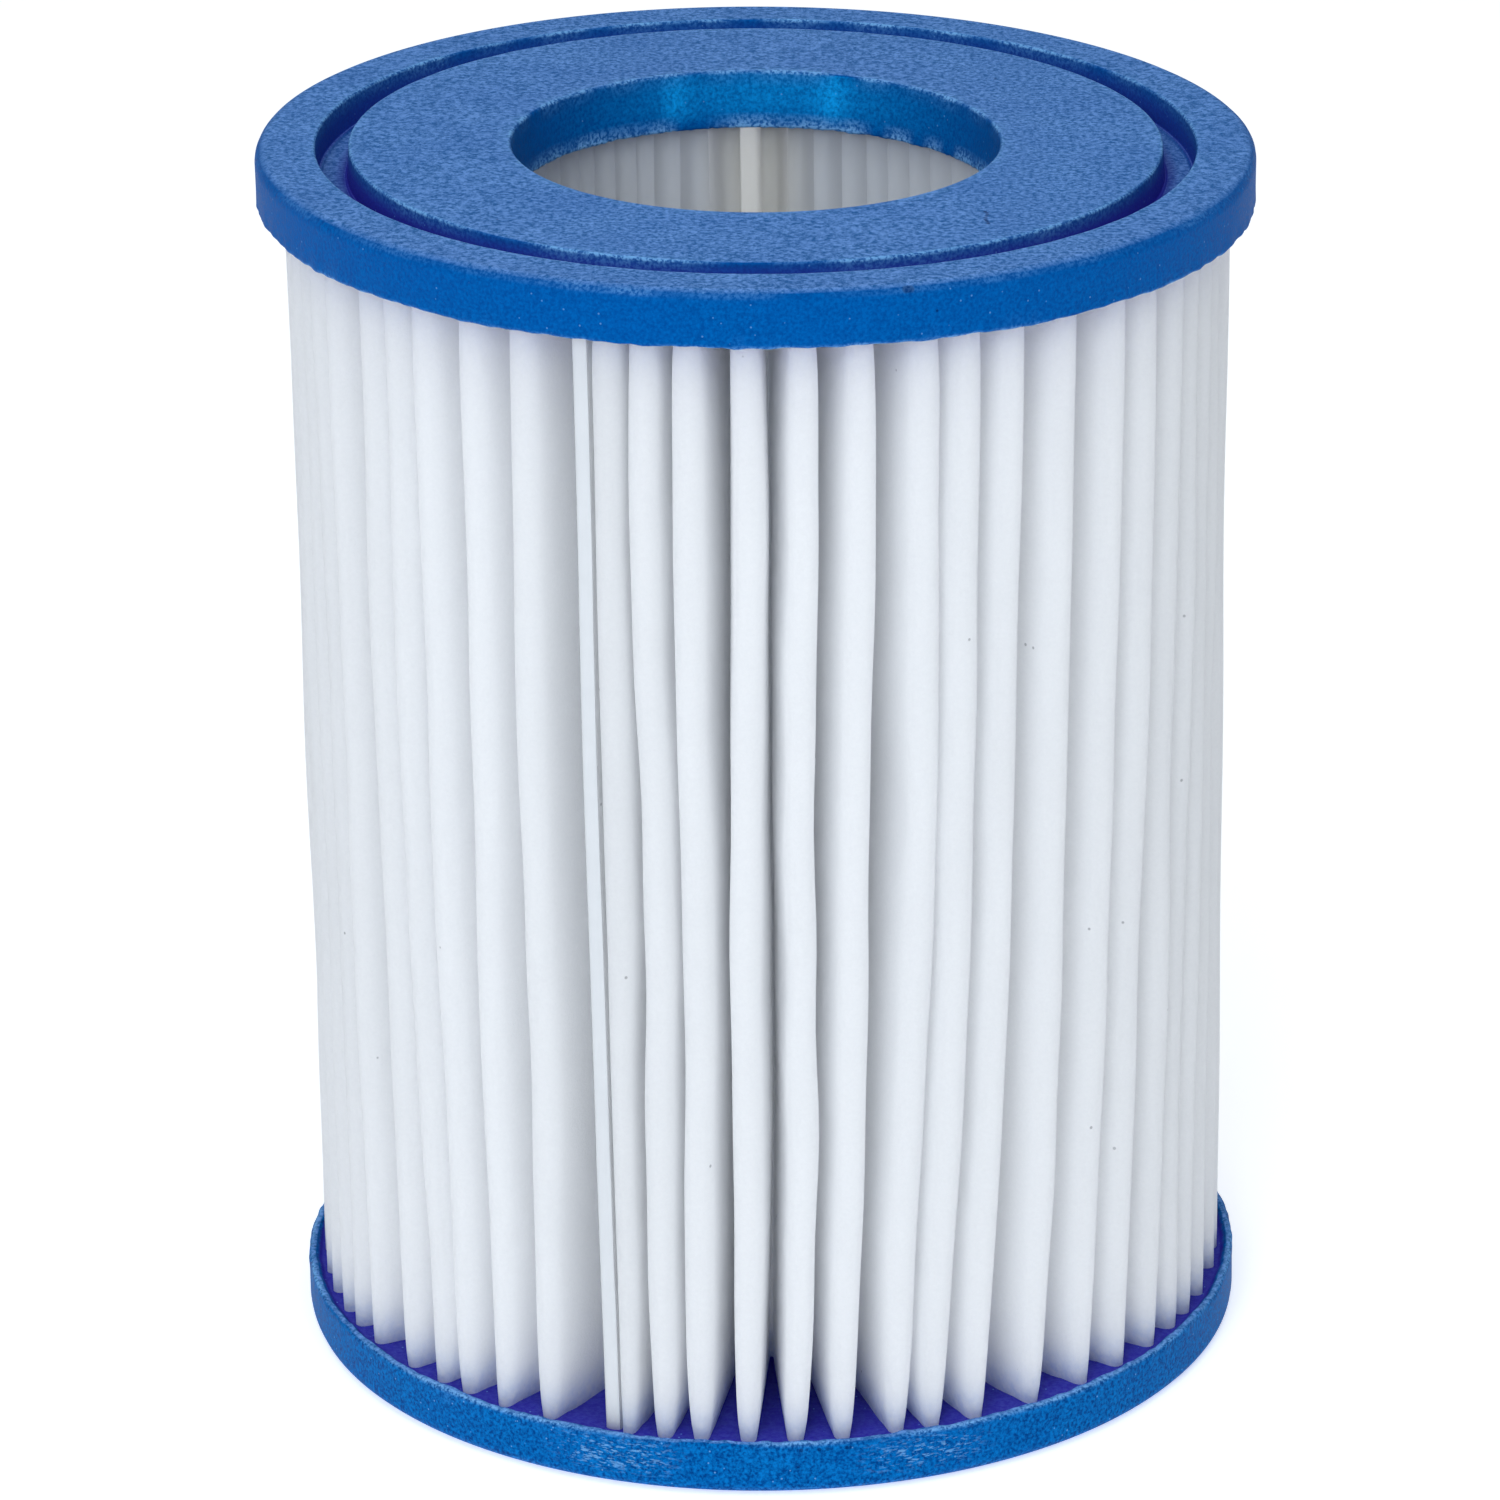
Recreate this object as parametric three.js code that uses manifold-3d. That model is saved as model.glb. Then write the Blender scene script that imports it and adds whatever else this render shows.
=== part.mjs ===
// A pleated filter cartridge for a small above-ground pool or spa pump.
// Two cast end caps hold a pleated strip of spun-bonded polyester round a perforated core tube. The strip's
// two ends stand side by side as a fin among the pleats, and a film of hot-melt glue joins them.
// Lengths are in millimetres, angles in degrees unless a name says otherwise. +Z is up, and the origin is the
// centre of the lower cap's flat outer face. Angles round the axis run from -Y towards +X.
import * as THREE from "three";
import { mergeVertices } from "three/addons/utils/BufferGeometryUtils.js";
import Module from "manifold-3d";

const wasm = await Module();
wasm.setup();

// Overall size
const HEIGHT = 136;
const CAP_RADIUS = 53;
const BORE_RADIUS = 26.3;

// End cap: a soft casting, flat outside, with a free surface inside that creeps up at both walls
const CAP_SEGMENTS = 48;
const CAP_DEPTH = 5.8; // outer face to the free surface between the pleats
const CREEP = 0.5; // how far the casting creeps up its outer wall
const BORE_CREEP = 0.8; // and up its bore
const RIM_WIDTH = 1.2; // thickness of the lip left by the creep
const RIM_FILLET = 1.3;
const FILLET_STEPS = 4;
const BORE_CHAMFER = 0.4;

// The ring groove in the outer face, left by the ledge that the pleats stand on while the cap is cast
const GROOVE_OUTER = 47.3;
const GROOVE_WIDTH = 3.6;
const GROOVE_DEPTH = 3.6;
const GROOVE_DRAFT = 0.25;
const LEDGE_RIDGES = 2; // fine concentric ridges on the groove's floor
const RIDGE_HEIGHT = 0.25;

// Core tube
const CORE_SEGMENTS = 40;
const CORE_INNER = 27.7;
const CORE_WALL = 1.3;
const CORE_SEAT = 3; // how far the core reaches into each cap
const WINDOW_COLUMNS = 10;
const WINDOW_ROWS = 5;
const WINDOW_WIDTH = 10.5;
const WINDOW_BAND = 12; // plain tube left at each end, above the cap
const WINDOW_RIB = 5; // ring left between two rows

// Pleated strip
const PLEATS = 60;
const MEDIA_THICKNESS = 0.6;
const FOLD_OUTER = 51;
const FOLD_INNER = 29.5;
const TIP_HALF = 0.95; // half the width of an outer fold, on the strip's middle line
const ROOT_HALF = 0.55; // the same at an inner fold
const MEDIA_SEAT = 1.4; // how far the strip's edges reach into each cap

// The seam fin, where the strip's first and last walls stand side by side
const SEAM_ANGLE = -19;
const SEAM_ROOM = 0.8; // extra room for the fin in its valley, in pleats
const SEAM_SPREAD = 1.3; // distance between the two walls' middle lines
const SEAM_FILM = 0.3;
const SEAM_MARGIN = 2; // the film stops this far short of the fin's two edges
const FIN_SHORT = 0.6; // the fin stops this far inside the pleats' outer folds

const GAP = 0.3; // clearance between a casting and what is set in it, along the axis
const SLOT_GAP = 0.15; // the same across a pleat's wall

const RAD = Math.PI / 180;

/** The point at a radius and an angle round the axis, moved sideways by a distance along the tangent. */
function onPlan(radius, angle, sideways = 0) {
  const s = Math.sin(angle * RAD);
  const c = Math.cos(angle * RAD);
  return new THREE.Vector2(radius * s + sideways * c, -radius * c + sideways * s);
}

/** A three.js geometry as a manifold-3d solid. */
function solidOf(geometry) {
  const bare = geometry.clone();
  bare.deleteAttribute("normal");
  bare.deleteAttribute("uv");
  const merged = mergeVertices(bare, 1e-4);
  return new wasm.Manifold(
    new wasm.Mesh({
      numProp: 3,
      vertProperties: new Float32Array(merged.attributes.position.array),
      triVerts: new Uint32Array(merged.index.array),
    }),
  );
}

/** A manifold-3d solid as a three.js geometry with flat faces. */
function geometryOf(solid) {
  const mesh = solid.getMesh();
  const geometry = new THREE.BufferGeometry();
  geometry.setAttribute("position", new THREE.BufferAttribute(new Float32Array(mesh.vertProperties), 3));
  geometry.setIndex(new THREE.BufferAttribute(new Uint32Array(mesh.triVerts), 1));
  const flat = geometry.toNonIndexed();
  flat.computeVertexNormals();
  return flat;
}

/** A ring turned about Z from a closed outline of [radius, z] points, given anticlockwise. */
function turned(outline, segments) {
  const points = [...outline, outline[0]].map(([r, z]) => new THREE.Vector2(r, z));
  return new THREE.LatheGeometry(points, segments).rotateX(Math.PI / 2);
}

/** A prism on a plan outline, from one height to another. */
function prism(outline, low, high) {
  const shape = new THREE.Shape(outline);
  return new THREE.ExtrudeGeometry(shape, { depth: high - low, bevelEnabled: false }).translate(0, 0, low);
}

/** Where two lines cross, each given by a point and a direction. */
function crossing(p, d, q, e) {
  const t = ((q.x - p.x) * e.y - (q.y - p.y) * e.x) / (d.x * e.y - d.y * e.x);
  return new THREE.Vector2(p.x + t * d.x, p.y + t * d.y);
}

/** One side of a folded line, moved off it by a distance. A fold too tight for that closes to a point. */
function sideLine(line, distance) {
  const edges = line.slice(1).map((end, i) => {
    const along = end.clone().sub(line[i]).normalize();
    const off = new THREE.Vector2(-along.y, along.x).multiplyScalar(distance);
    return { from: line[i].clone().add(off), to: end.clone().add(off), along };
  });
  const meet = (a, b) => crossing(a.from, a.along, b.from, b.along);
  const kept = edges.filter((edge, i) => {
    if (i === 0 || i === edges.length - 1) return true;
    const run = meet(edge, edges[i + 1]).sub(meet(edges[i - 1], edge));
    return run.dot(edge.along) > 0;
  });
  return [kept[0].from, ...kept.slice(1).map((edge, i) => meet(kept[i], edge)), kept[kept.length - 1].to];
}

/** The strip's middle line, from one free edge, in along the fin, round all the pleats and back out. */
function pleatLine() {
  const tipRadius = FOLD_OUTER - MEDIA_THICKNESS / 2;
  const rootRadius = FOLD_INNER + MEDIA_THICKNESS / 2;
  const pitch = 360 / (PLEATS + SEAM_ROOM);
  const finSide = (side) => [
    onPlan(tipRadius - FIN_SHORT, SEAM_ANGLE, (side * SEAM_SPREAD) / 2),
    onPlan(rootRadius, SEAM_ANGLE, (side * SEAM_SPREAD) / 2),
    onPlan(rootRadius, SEAM_ANGLE, side * (SEAM_SPREAD / 2 + 2 * ROOT_HALF)),
  ];
  const line = finSide(1);
  for (let i = 0; i < PLEATS; i++) {
    const tip = SEAM_ANGLE + (i + (1 + SEAM_ROOM) / 2) * pitch;
    const root = tip + pitch / 2;
    line.push(onPlan(tipRadius, tip, -TIP_HALF), onPlan(tipRadius, tip, TIP_HALF));
    if (i < PLEATS - 1) line.push(onPlan(rootRadius, root, -ROOT_HALF), onPlan(rootRadius, root, ROOT_HALF));
  }
  return [...line, ...finSide(-1).reverse()];
}

/** The strip's outline in plan, with an extra thickness on both faces and both free edges. */
function stripOutline(extra) {
  const line = pleatLine();
  const last = line.length - 1;
  const stretch = (end, next) => end.add(end.clone().sub(next).normalize().multiplyScalar(extra));
  stretch(line[0], line[1]);
  stretch(line[last], line[last - 1]);
  const half = MEDIA_THICKNESS / 2 + extra;
  return [...sideLine(line, -half), ...sideLine(line, half).reverse()];
}

/** The lower cap's outline in the plane of its axis. */
function capOutline() {
  const grooveInner = GROOVE_OUTER - GROOVE_WIDTH;
  const floorInner = grooveInner + GROOVE_DRAFT;
  const floorWidth = GROOVE_WIDTH - 2 * GROOVE_DRAFT;
  const ridgePitch = floorWidth / (2 * LEDGE_RIDGES + 1);
  const ridges = Array.from({ length: 2 * LEDGE_RIDGES }, (_, i) => {
    const r = floorInner + (i + 1) * ridgePitch;
    const low = [r, GROOVE_DEPTH];
    const high = [r, GROOVE_DEPTH - RIDGE_HEIGHT];
    return i % 2 ? [high, low] : [low, high];
  }).flat();
  const fillet = Array.from({ length: FILLET_STEPS + 1 }, (_, i) => {
    const a = (i / FILLET_STEPS) * (Math.PI / 2);
    return [
      CAP_RADIUS - RIM_FILLET + RIM_FILLET * Math.sin(a),
      RIM_FILLET - RIM_FILLET * Math.cos(a),
    ];
  });
  return [
    [BORE_RADIUS + BORE_CHAMFER, 0],
    [grooveInner, 0],
    [floorInner, GROOVE_DEPTH],
    ...ridges,
    [GROOVE_OUTER - GROOVE_DRAFT, GROOVE_DEPTH],
    [GROOVE_OUTER, 0],
    ...fillet,
    [CAP_RADIUS, CAP_DEPTH + CREEP],
    [CAP_RADIUS - RIM_WIDTH / 2, CAP_DEPTH + CREEP],
    [CAP_RADIUS - RIM_WIDTH, CAP_DEPTH],
    [CORE_INNER - GAP, CAP_DEPTH],
    [BORE_RADIUS, CAP_DEPTH + BORE_CREEP],
    [BORE_RADIUS, BORE_CHAMFER],
  ];
}

/** The lower cap, with a slot for the strip's folded edge and a seat for the core. */
function capGeometry() {
  const seat = turned(
    [
      [CORE_INNER - GAP, CAP_DEPTH - CORE_SEAT - GAP],
      [CORE_INNER + CORE_WALL + GAP / 2, CAP_DEPTH - CORE_SEAT - GAP],
      [CORE_INNER + CORE_WALL + GAP / 2, HEIGHT / 2],
      [CORE_INNER - GAP, HEIGHT / 2],
    ],
    CAP_SEGMENTS,
  );
  const slot = prism(stripOutline(SLOT_GAP), CAP_DEPTH - MEDIA_SEAT - GAP, HEIGHT / 2);
  const casting = solidOf(turned(capOutline(), CAP_SEGMENTS));
  return geometryOf(casting.subtract(solidOf(seat)).subtract(solidOf(slot)));
}

/** The core tube, pierced by rows of windows. */
function coreGeometry() {
  const low = CAP_DEPTH - CORE_SEAT;
  const high = HEIGHT - low;
  const outer = CORE_INNER + CORE_WALL;
  let tube = solidOf(
    turned(
      [
        [CORE_INNER, low],
        [outer, low],
        [outer, high],
        [CORE_INNER, high],
      ],
      CORE_SEGMENTS,
    ),
  );
  const firstWindow = CAP_DEPTH + WINDOW_BAND;
  const span = HEIGHT - 2 * firstWindow;
  const windowHeight = (span - (WINDOW_ROWS - 1) * WINDOW_RIB) / WINDOW_ROWS;
  for (let row = 0; row < WINDOW_ROWS; row++) {
    for (let column = 0; column < WINDOW_COLUMNS; column++) {
      const cutter = new THREE.BoxGeometry(WINDOW_WIDTH, 4 * CORE_WALL, windowHeight)
        .translate(0, -outer, firstWindow + windowHeight / 2 + row * (windowHeight + WINDOW_RIB))
        .rotateZ((column / WINDOW_COLUMNS) * 2 * Math.PI);
      tube = tube.subtract(solidOf(cutter));
    }
  }
  return geometryOf(tube);
}

/** The folded strip, with its edges reaching into both caps. */
function mediaGeometry() {
  const low = CAP_DEPTH - MEDIA_SEAT;
  return prism(stripOutline(0), low, HEIGHT - low);
}

/** The film of glue between the fin's two walls. */
function filmGeometry() {
  const inner = FOLD_INNER + SEAM_MARGIN;
  const outer = FOLD_OUTER - FIN_SHORT - SEAM_MARGIN;
  const outline = [
    onPlan(inner, SEAM_ANGLE, -SEAM_FILM / 2),
    onPlan(outer, SEAM_ANGLE, -SEAM_FILM / 2),
    onPlan(outer, SEAM_ANGLE, SEAM_FILM / 2),
    onPlan(inner, SEAM_ANGLE, SEAM_FILM / 2),
  ];
  return prism(outline, CAP_DEPTH + GAP, HEIGHT - CAP_DEPTH - GAP);
}

const CAP_BLUE = new THREE.MeshStandardMaterial({ color: 0x0b5bb0, roughness: 0.5, metalness: 0 });
const MEDIA_WHITE = new THREE.MeshStandardMaterial({ color: 0xf1f4f8, roughness: 0.95, metalness: 0 });
const CORE_NATURAL = new THREE.MeshStandardMaterial({ color: 0xe4e2da, roughness: 0.4, metalness: 0 });
const GLUE_AMBER = new THREE.MeshStandardMaterial({ color: 0xe9dcb4, roughness: 0.35, metalness: 0 });

function part(name, geometry, material) {
  const mesh = new THREE.Mesh(geometry, material);
  mesh.name = name;
  return mesh;
}

const cartridge = new THREE.Group();
const cap = capGeometry();

const bottomCap = part("bottom_end_cap", cap, CAP_BLUE);
const topCap = part("top_end_cap", cap.clone(), CAP_BLUE);
topCap.position.z = HEIGHT;
topCap.scale.z = -1; // the same casting, facing up

cartridge.add(
  bottomCap,
  part("pleated_media", mediaGeometry(), MEDIA_WHITE),
  part("seam_glue_film", filmGeometry(), GLUE_AMBER),
  part("core_tube", coreGeometry(), CORE_NATURAL),
  topCap,
);

export default cartridge;
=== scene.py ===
"""The looks of a pleated filter cartridge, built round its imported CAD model.

Blender works in metres. The sizes of the cartridge below are in millimetres and the angles in degrees,
and MM turns a size into metres. Angles round the axis run from -Y, the front, towards +X.
"""

import math
import random

import bpy
import numpy as np
from mathutils import Matrix, Vector


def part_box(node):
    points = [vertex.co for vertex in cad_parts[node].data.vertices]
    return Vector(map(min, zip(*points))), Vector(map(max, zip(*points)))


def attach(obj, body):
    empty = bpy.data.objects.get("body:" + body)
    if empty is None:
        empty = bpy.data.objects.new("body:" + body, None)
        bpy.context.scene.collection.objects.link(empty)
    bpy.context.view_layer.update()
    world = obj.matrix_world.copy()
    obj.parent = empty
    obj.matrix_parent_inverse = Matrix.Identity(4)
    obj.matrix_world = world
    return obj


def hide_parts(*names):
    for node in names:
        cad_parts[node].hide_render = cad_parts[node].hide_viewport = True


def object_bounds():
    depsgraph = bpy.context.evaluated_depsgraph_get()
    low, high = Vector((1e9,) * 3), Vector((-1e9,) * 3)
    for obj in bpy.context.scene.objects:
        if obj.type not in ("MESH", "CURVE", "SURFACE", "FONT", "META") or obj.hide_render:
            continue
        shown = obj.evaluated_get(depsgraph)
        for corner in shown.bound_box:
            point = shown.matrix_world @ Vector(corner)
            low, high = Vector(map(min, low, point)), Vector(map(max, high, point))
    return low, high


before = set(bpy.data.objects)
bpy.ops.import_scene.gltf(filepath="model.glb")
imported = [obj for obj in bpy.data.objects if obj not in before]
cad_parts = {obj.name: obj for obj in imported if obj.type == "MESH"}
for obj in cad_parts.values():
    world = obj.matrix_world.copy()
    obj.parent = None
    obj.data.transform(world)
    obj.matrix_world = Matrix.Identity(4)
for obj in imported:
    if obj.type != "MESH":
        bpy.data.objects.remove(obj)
CAD_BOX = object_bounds()
MM = 0.001

# Sizes that come from the CAD model
HEIGHT = CAD_BOX[1].z / MM
CAP_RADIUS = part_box("top_end_cap")[1].x / MM
MEDIA_LOW, MEDIA_HIGH = (corner.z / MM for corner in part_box("pleated_media"))
FOLD_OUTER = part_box("pleated_media")[1].x / MM
CORE_LOW, CORE_HIGH = (corner.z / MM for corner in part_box("core_tube"))
CORE_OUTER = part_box("core_tube")[1].x / MM

# End cap
CAP_SEGMENTS = 540  # points round the axis
CAP_DEPTH = 5.3  # from the outer face to the casting's free surface between the pleats
RIM_DEPTH = 6.0  # the lip that the casting leaves where it creeps up its outer wall
BORE_RADIUS = 26.3
BORE_DEPTH = 6.4
BORE_DRAFT = 0.6  # the bore narrows by this much from the face to its inner lip
GROOVE_INNER = 43.7
GROOVE_OUTER = 47.3
GROOVE_DEPTH = 3.6
RIM_FILLET = 1.3
EDGE_FILLET = 0.3
UPPER_SPREAD = 0.75  # how much wider the upper casting came out than its nominal radius
LOWER_SPREAD = -0.3
UPPER_TILT = 0.8  # degrees by which the upper cap sits lower at +X than at -X
RIDGE_PITCH = 0.75  # of the fine rings on the groove's floor
RIDGE_HEIGHT = 0.09
GLINT_MIDDLE = -16.5  # where a painted highlight runs along the upper cap's rim
GLINT_HALF = 4.5
# Each patch and each streak has its middle angle, its half width and its strength
SCUFFS = ((-19, 6.5, 1.0), (18, 6.5, 0.75))  # the scaly patches on the lower rim, rougher in relief and glossier, with painted glints
SHEENS = ((200, 3.5, 0.9), (161, 3.5, 1.1), (176, 36, 1.1))  # the bright streaks down the upper bore
PIT_COUNT = 6  # small open bubbles just under the lower rim's crest
PIT_SPAN = (-8, 10)
PIT_RADIUS = 0.27
NICK_ANGLE = 16.5
NICK_RADIUS = 0.5
SCRATCH_FROM = (42.0, 35.5)  # angle and radius of the upper face's scratch at one end
SCRATCH_RUN = (-4.2, 3.3)  # and how much they change to its other end
SCRATCH_RADIUS = 0.25

# Pleated strip
THICKNESS = 0.6
FOLD_INNER = 29.5
LEVELS = 44  # rows of points up the strip
PLEATS = 60
FRONT_START = -82  # the leftmost pleat seen from the front, where it enters the lower cap
GAPS = {"close": 4.6, "even": 5.8, "loose": 6.8, "wide": 8.2, "seam": 10.7}  # degrees between two pleats
FRONT_GAPS = (
    "even even close even wide even close even loose seam close close even "
    "even even loose close even wide wide loose loose even close even wide"
)  # from left to right
# The drift of a pleat from its lower end to its upper end, as points of (angle round the axis, drift)
LEANS = ((-80, -1), (-45, -3), (-32, 0), (-8, 0), (22, 6), (55, 5), (80, 2))
LEAN_SCATTER = 0.4
WIDE_FOLD = (1.3, 1.6)  # half an outer fold's width where the strip is free
NARROW_FOLD = (0.72, 0.85)  # and where a cap holds it
TIGHTEST_FOLD = 0.46  # and where it is pressed flat, so that the sheet doesn't cut through itself
ROOT_HALF = 0.5  # half an inner fold's width
OPENING_HEIGHT = 9.0  # over which the outer folds widen above the lower cap
CLOSING_HEIGHT = 4.0  # and narrow again under the upper cap
FOOT_HEIGHT = 1.3  # over which they draw in where they enter the lower cap
FOOT_RECESS = 0.12  # how far they draw in there
FIN_ANGLE = -20.2  # the strip's two ends stand here side by side
FIN_LEAN = -1.1
FIN_SPREAD = 1.1  # between the middles of the two ends
FIN_SHORT = 0.6  # how far the fin stops short of the outer folds
FOLD_STEPS = 8
WALL_STEPS = 3
FIN_STEPS = 8
SEEDS = {  # where each kind of random draw along the strip starts
    "stray": 200,
    "ripple": 300,
    "root": 400,
    "fin": 500,
    "fold": 600,
    "width": 700,
    "reach": 800,
    "left wall": 900,
    "right wall": 1000,
    "glue bead": 77,
}

# Core tube
CORE_WALL = 1.3
WINDOW_COLUMNS = 10
WINDOW_ROWS = 5
WINDOW_WIDTH = 10.5
WINDOW_BAND = 12.0  # plain wall between a cap and the nearest windows
WINDOW_RIB = 5.0  # between two windows of a column
WINDOW_CORNER = 1.6

# Studio and camera, with places and sizes in metres. The camera was fitted to the ellipses of the caps.
DAYLIGHT = (0.86, 0.925, 1.0)  # slightly blue
ROOM_STRENGTH = 0.455
TABLE_REACH = 4.0
TABLE_DROP = 0.0002  # keeps the table just clear of the lower cap
TABLE_WHITE = (0.93, 0.93, 0.93, 1.0)
TABLE_GLOW = 0.5
AIM = (0.0, 0.0, 0.07)
KEY_PLACE = (-0.25, -0.97, 0.56)
KEY_SIZE = 0.4
KEY_POWER = 4.1
OVERHEAD_PLACE = (-0.05, -0.45, 1.12)
OVERHEAD_SIZE = 0.9
OVERHEAD_POWER = 4.5
LIGHT_BOUNCES = 32  # enough for light to come back out of the valleys
THROUGH_BOUNCES = 24
CAMERA_PLACE = (0.0, -0.7206, 0.3514)
CAMERA_SENSOR = 36.0  # millimetres, as is the lens
CAMERA_LENS = 167.4
CAMERA_YAW = 0.125
CAMERA_DIP = 21.65
CAMERA_ROLL = -0.84

# Colours in linear red, green and blue. A pair is the darker and the lighter end of a grain or a cloud.
SIDE_BLUES = ((0.0, 0.060, 0.255), (0.0, 0.104, 0.375))
LOWER_SIDE_BLUES = ((0.0, 0.045, 0.20), (0.002, 0.170, 0.51))
FACE_SHEEN_BLUES = ((0.016, 0.115, 0.33), (0.165, 0.345, 0.74))
CLOUD_BLUE = (0.0, 0.075, 0.33)
CREVICE_SHADE_VIOLET = (0.035, 0.012, 0.33)
HOLLOW_SHADE_NAVY = (0.0, 0.015, 0.10)
GLEAM_BLUE = (0.005, 0.36, 0.86)
DUST_AND_HIGHLIGHT_BLUE = (0.20, 0.46, 0.80)
SPECULAR_BLUE = (0.1, 0.5, 1.0, 1.0)
FELT_WHITES = ((0.962, 0.964, 0.968), (0.993, 0.993, 0.994))
SOAKED_AND_BOUNCE_BLUE = (0.38, 0.55, 0.88)
LINT_GREY = (0.25, 0.24, 0.25)
FELT_THROUGH = 0.7  # the share of the fabric's light that comes through it
CORE_WHITES = ((0.91, 0.94, 0.97), (0.95, 0.97, 0.99))
CORE_OPACITY = 0.2
GATE_YELLOW = (0.80, 0.72, 0.52)
GLUE_GREYS = ((0.61, 0.625, 0.64), (0.66, 0.675, 0.69))


def add_camera():
    """The photograph's viewpoint: in front of the cartridge and above it."""
    data = bpy.data.cameras.new("camera")
    data.sensor_width = CAMERA_SENSOR
    data.lens = CAMERA_LENS
    camera = bpy.data.objects.new("camera", data)
    bpy.context.scene.collection.objects.link(camera)
    place = Matrix.Translation(CAMERA_PLACE)
    yaw = Matrix.Rotation(math.radians(CAMERA_YAW), 4, "Z")
    pitch = Matrix.Rotation(math.radians(90 - CAMERA_DIP), 4, "X")
    roll = Matrix.Rotation(math.radians(CAMERA_ROLL), 4, "Z")
    camera.matrix_world = place @ yaw @ pitch @ roll
    bpy.context.scene.camera = camera


def add_softbox(name, place, size, power):
    """A square area light that points at the cartridge."""
    data = bpy.data.lights.new(name, "AREA")
    data.size = size
    data.energy = power
    data.color = DAYLIGHT
    light = bpy.data.objects.new(name, data)
    light.location = place
    light.rotation_mode = "QUATERNION"
    light.rotation_quaternion = (Vector(AIM) - Vector(place)).to_track_quat("-Z", "Y")
    bpy.context.scene.collection.objects.link(light)


def add_studio():
    """A white table that glows a little, a pale room and two soft lights."""
    scene = bpy.context.scene
    world = bpy.data.worlds.new("room")
    world.use_nodes = True
    background = world.node_tree.nodes["Background"]
    background.inputs["Color"].default_value = (*DAYLIGHT, 1.0)
    background.inputs["Strength"].default_value = ROOM_STRENGTH
    scene.world = world
    scene.view_settings.view_transform = "Standard"
    scene.cycles.max_bounces = LIGHT_BOUNCES
    scene.cycles.diffuse_bounces = LIGHT_BOUNCES
    scene.cycles.transmission_bounces = THROUGH_BOUNCES

    add_softbox("key_softbox", KEY_PLACE, KEY_SIZE, KEY_POWER)
    add_softbox("overhead_softbox", OVERHEAD_PLACE, OVERHEAD_SIZE, OVERHEAD_POWER)

    mesh = bpy.data.meshes.new("floor")
    corners = [(TABLE_REACH * x, TABLE_REACH * y, 0) for x, y in ((-1, -1), (1, -1), (1, 1), (-1, 1))]
    mesh.from_pydata(corners, [], [(0, 1, 2, 3)])
    floor = bpy.data.objects.new("floor", mesh)
    floor.location.z = -TABLE_DROP
    scene.collection.objects.link(floor)
    paint = bpy.data.materials.new("table_acrylic")
    paint.use_nodes = True
    shader = paint.node_tree.nodes["Principled BSDF"]
    shader.inputs["Base Color"].default_value = TABLE_WHITE
    shader.inputs["Roughness"].default_value = 0.9
    shader.inputs["Emission Color"].default_value = (1.0, 1.0, 1.0, 1.0)
    shader.inputs["Emission Strength"].default_value = TABLE_GLOW
    mesh.materials.append(paint)


def wave_sum(seed, places, longest, shortest):
    """A smooth random curve of about unit size, read at places, with waves between two lengths."""
    terms = 6
    draw = random.Random(seed)
    total = np.zeros_like(places)
    for _ in range(terms):
        length = math.exp(draw.uniform(math.log(shortest), math.log(longest)))
        total += np.sin(2 * np.pi * (places / length + draw.random()))
    return total / math.sqrt(terms / 2)


def grid_mesh(points, around_closed, along_closed):
    """Vertices in metres and quads for a grid of points whose last axis is x, y, z in millimetres."""
    rows, columns = points.shape[:2]
    numbers = np.arange(rows * columns).reshape(rows, columns)
    next_rows = np.roll(numbers, -1, 0) if around_closed else numbers[1:]
    here = numbers if around_closed else numbers[:-1]
    if along_closed:
        a, b = here, np.roll(here, -1, 1)
        d, c = next_rows, np.roll(next_rows, -1, 1)
    else:
        a, b = here[:, :-1], here[:, 1:]
        d, c = next_rows[:, :-1], next_rows[:, 1:]
    quads = np.stack([a, d, c, b], -1).reshape(-1, 4)
    return (settled(points.reshape(-1, 3)) * MM).tolist(), quads.tolist()


def settled(points):
    """Points of the straight cartridge, moved to where the upper cap's tilt puts them."""
    drop = points[:, 0] * math.tan(math.radians(UPPER_TILT)) * points[:, 2] / HEIGHT
    return points - drop[:, None] * np.array([0.0, 0.0, 1.0])


def new_piece(name, vertices, faces, material, node):
    """A smooth-shaded mesh piece that stands for a CAD node."""
    mesh = bpy.data.meshes.new(name)
    mesh.from_pydata(vertices, [], faces)
    mesh.validate()
    mesh.update()
    mesh.shade_smooth()
    mesh.materials.append(material)
    piece = bpy.data.objects.new(name, mesh)
    bpy.context.scene.collection.objects.link(piece)
    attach(piece, "root")
    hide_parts(node)
    return piece


# ---- End caps


def rounded(corners):
    """A closed outline from (radius, height, fillet) corners, with each fillet as an arc."""
    steps = 5
    outline = []
    for i, (r, z, fillet) in enumerate(corners):
        here = Vector((r, z))
        before = (Vector(corners[i - 1][:2]) - here).normalized()
        after = (Vector(corners[(i + 1) % len(corners)][:2]) - here).normalized()
        if not fillet:
            outline.append(here)
            continue
        half = before.angle(after) / 2
        middle = here + (before + after).normalized() * (fillet / math.sin(half))
        start = here + before * (fillet / math.tan(half)) - middle
        end = here + after * (fillet / math.tan(half)) - middle
        turn = start.angle_signed(end)
        for k in range(steps + 1):
            outline.append(middle + Matrix.Rotation(-turn * k / steps, 2) @ start)
    return outline


def refined(outline, longest, margin):
    """The outline with points added along its long edges, and close to both ends of each."""
    fine = []
    for here, after in zip(outline, outline[1:] + outline[:1]):
        fine.append(here)
        length = (after - here).length
        if length < 4 * margin:
            continue
        inner = length - 2 * margin
        count = max(1, math.ceil(inner / longest))
        fine += [here.lerp(after, (margin + inner * k / count) / length) for k in range(count + 1)]
    return fine


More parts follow.
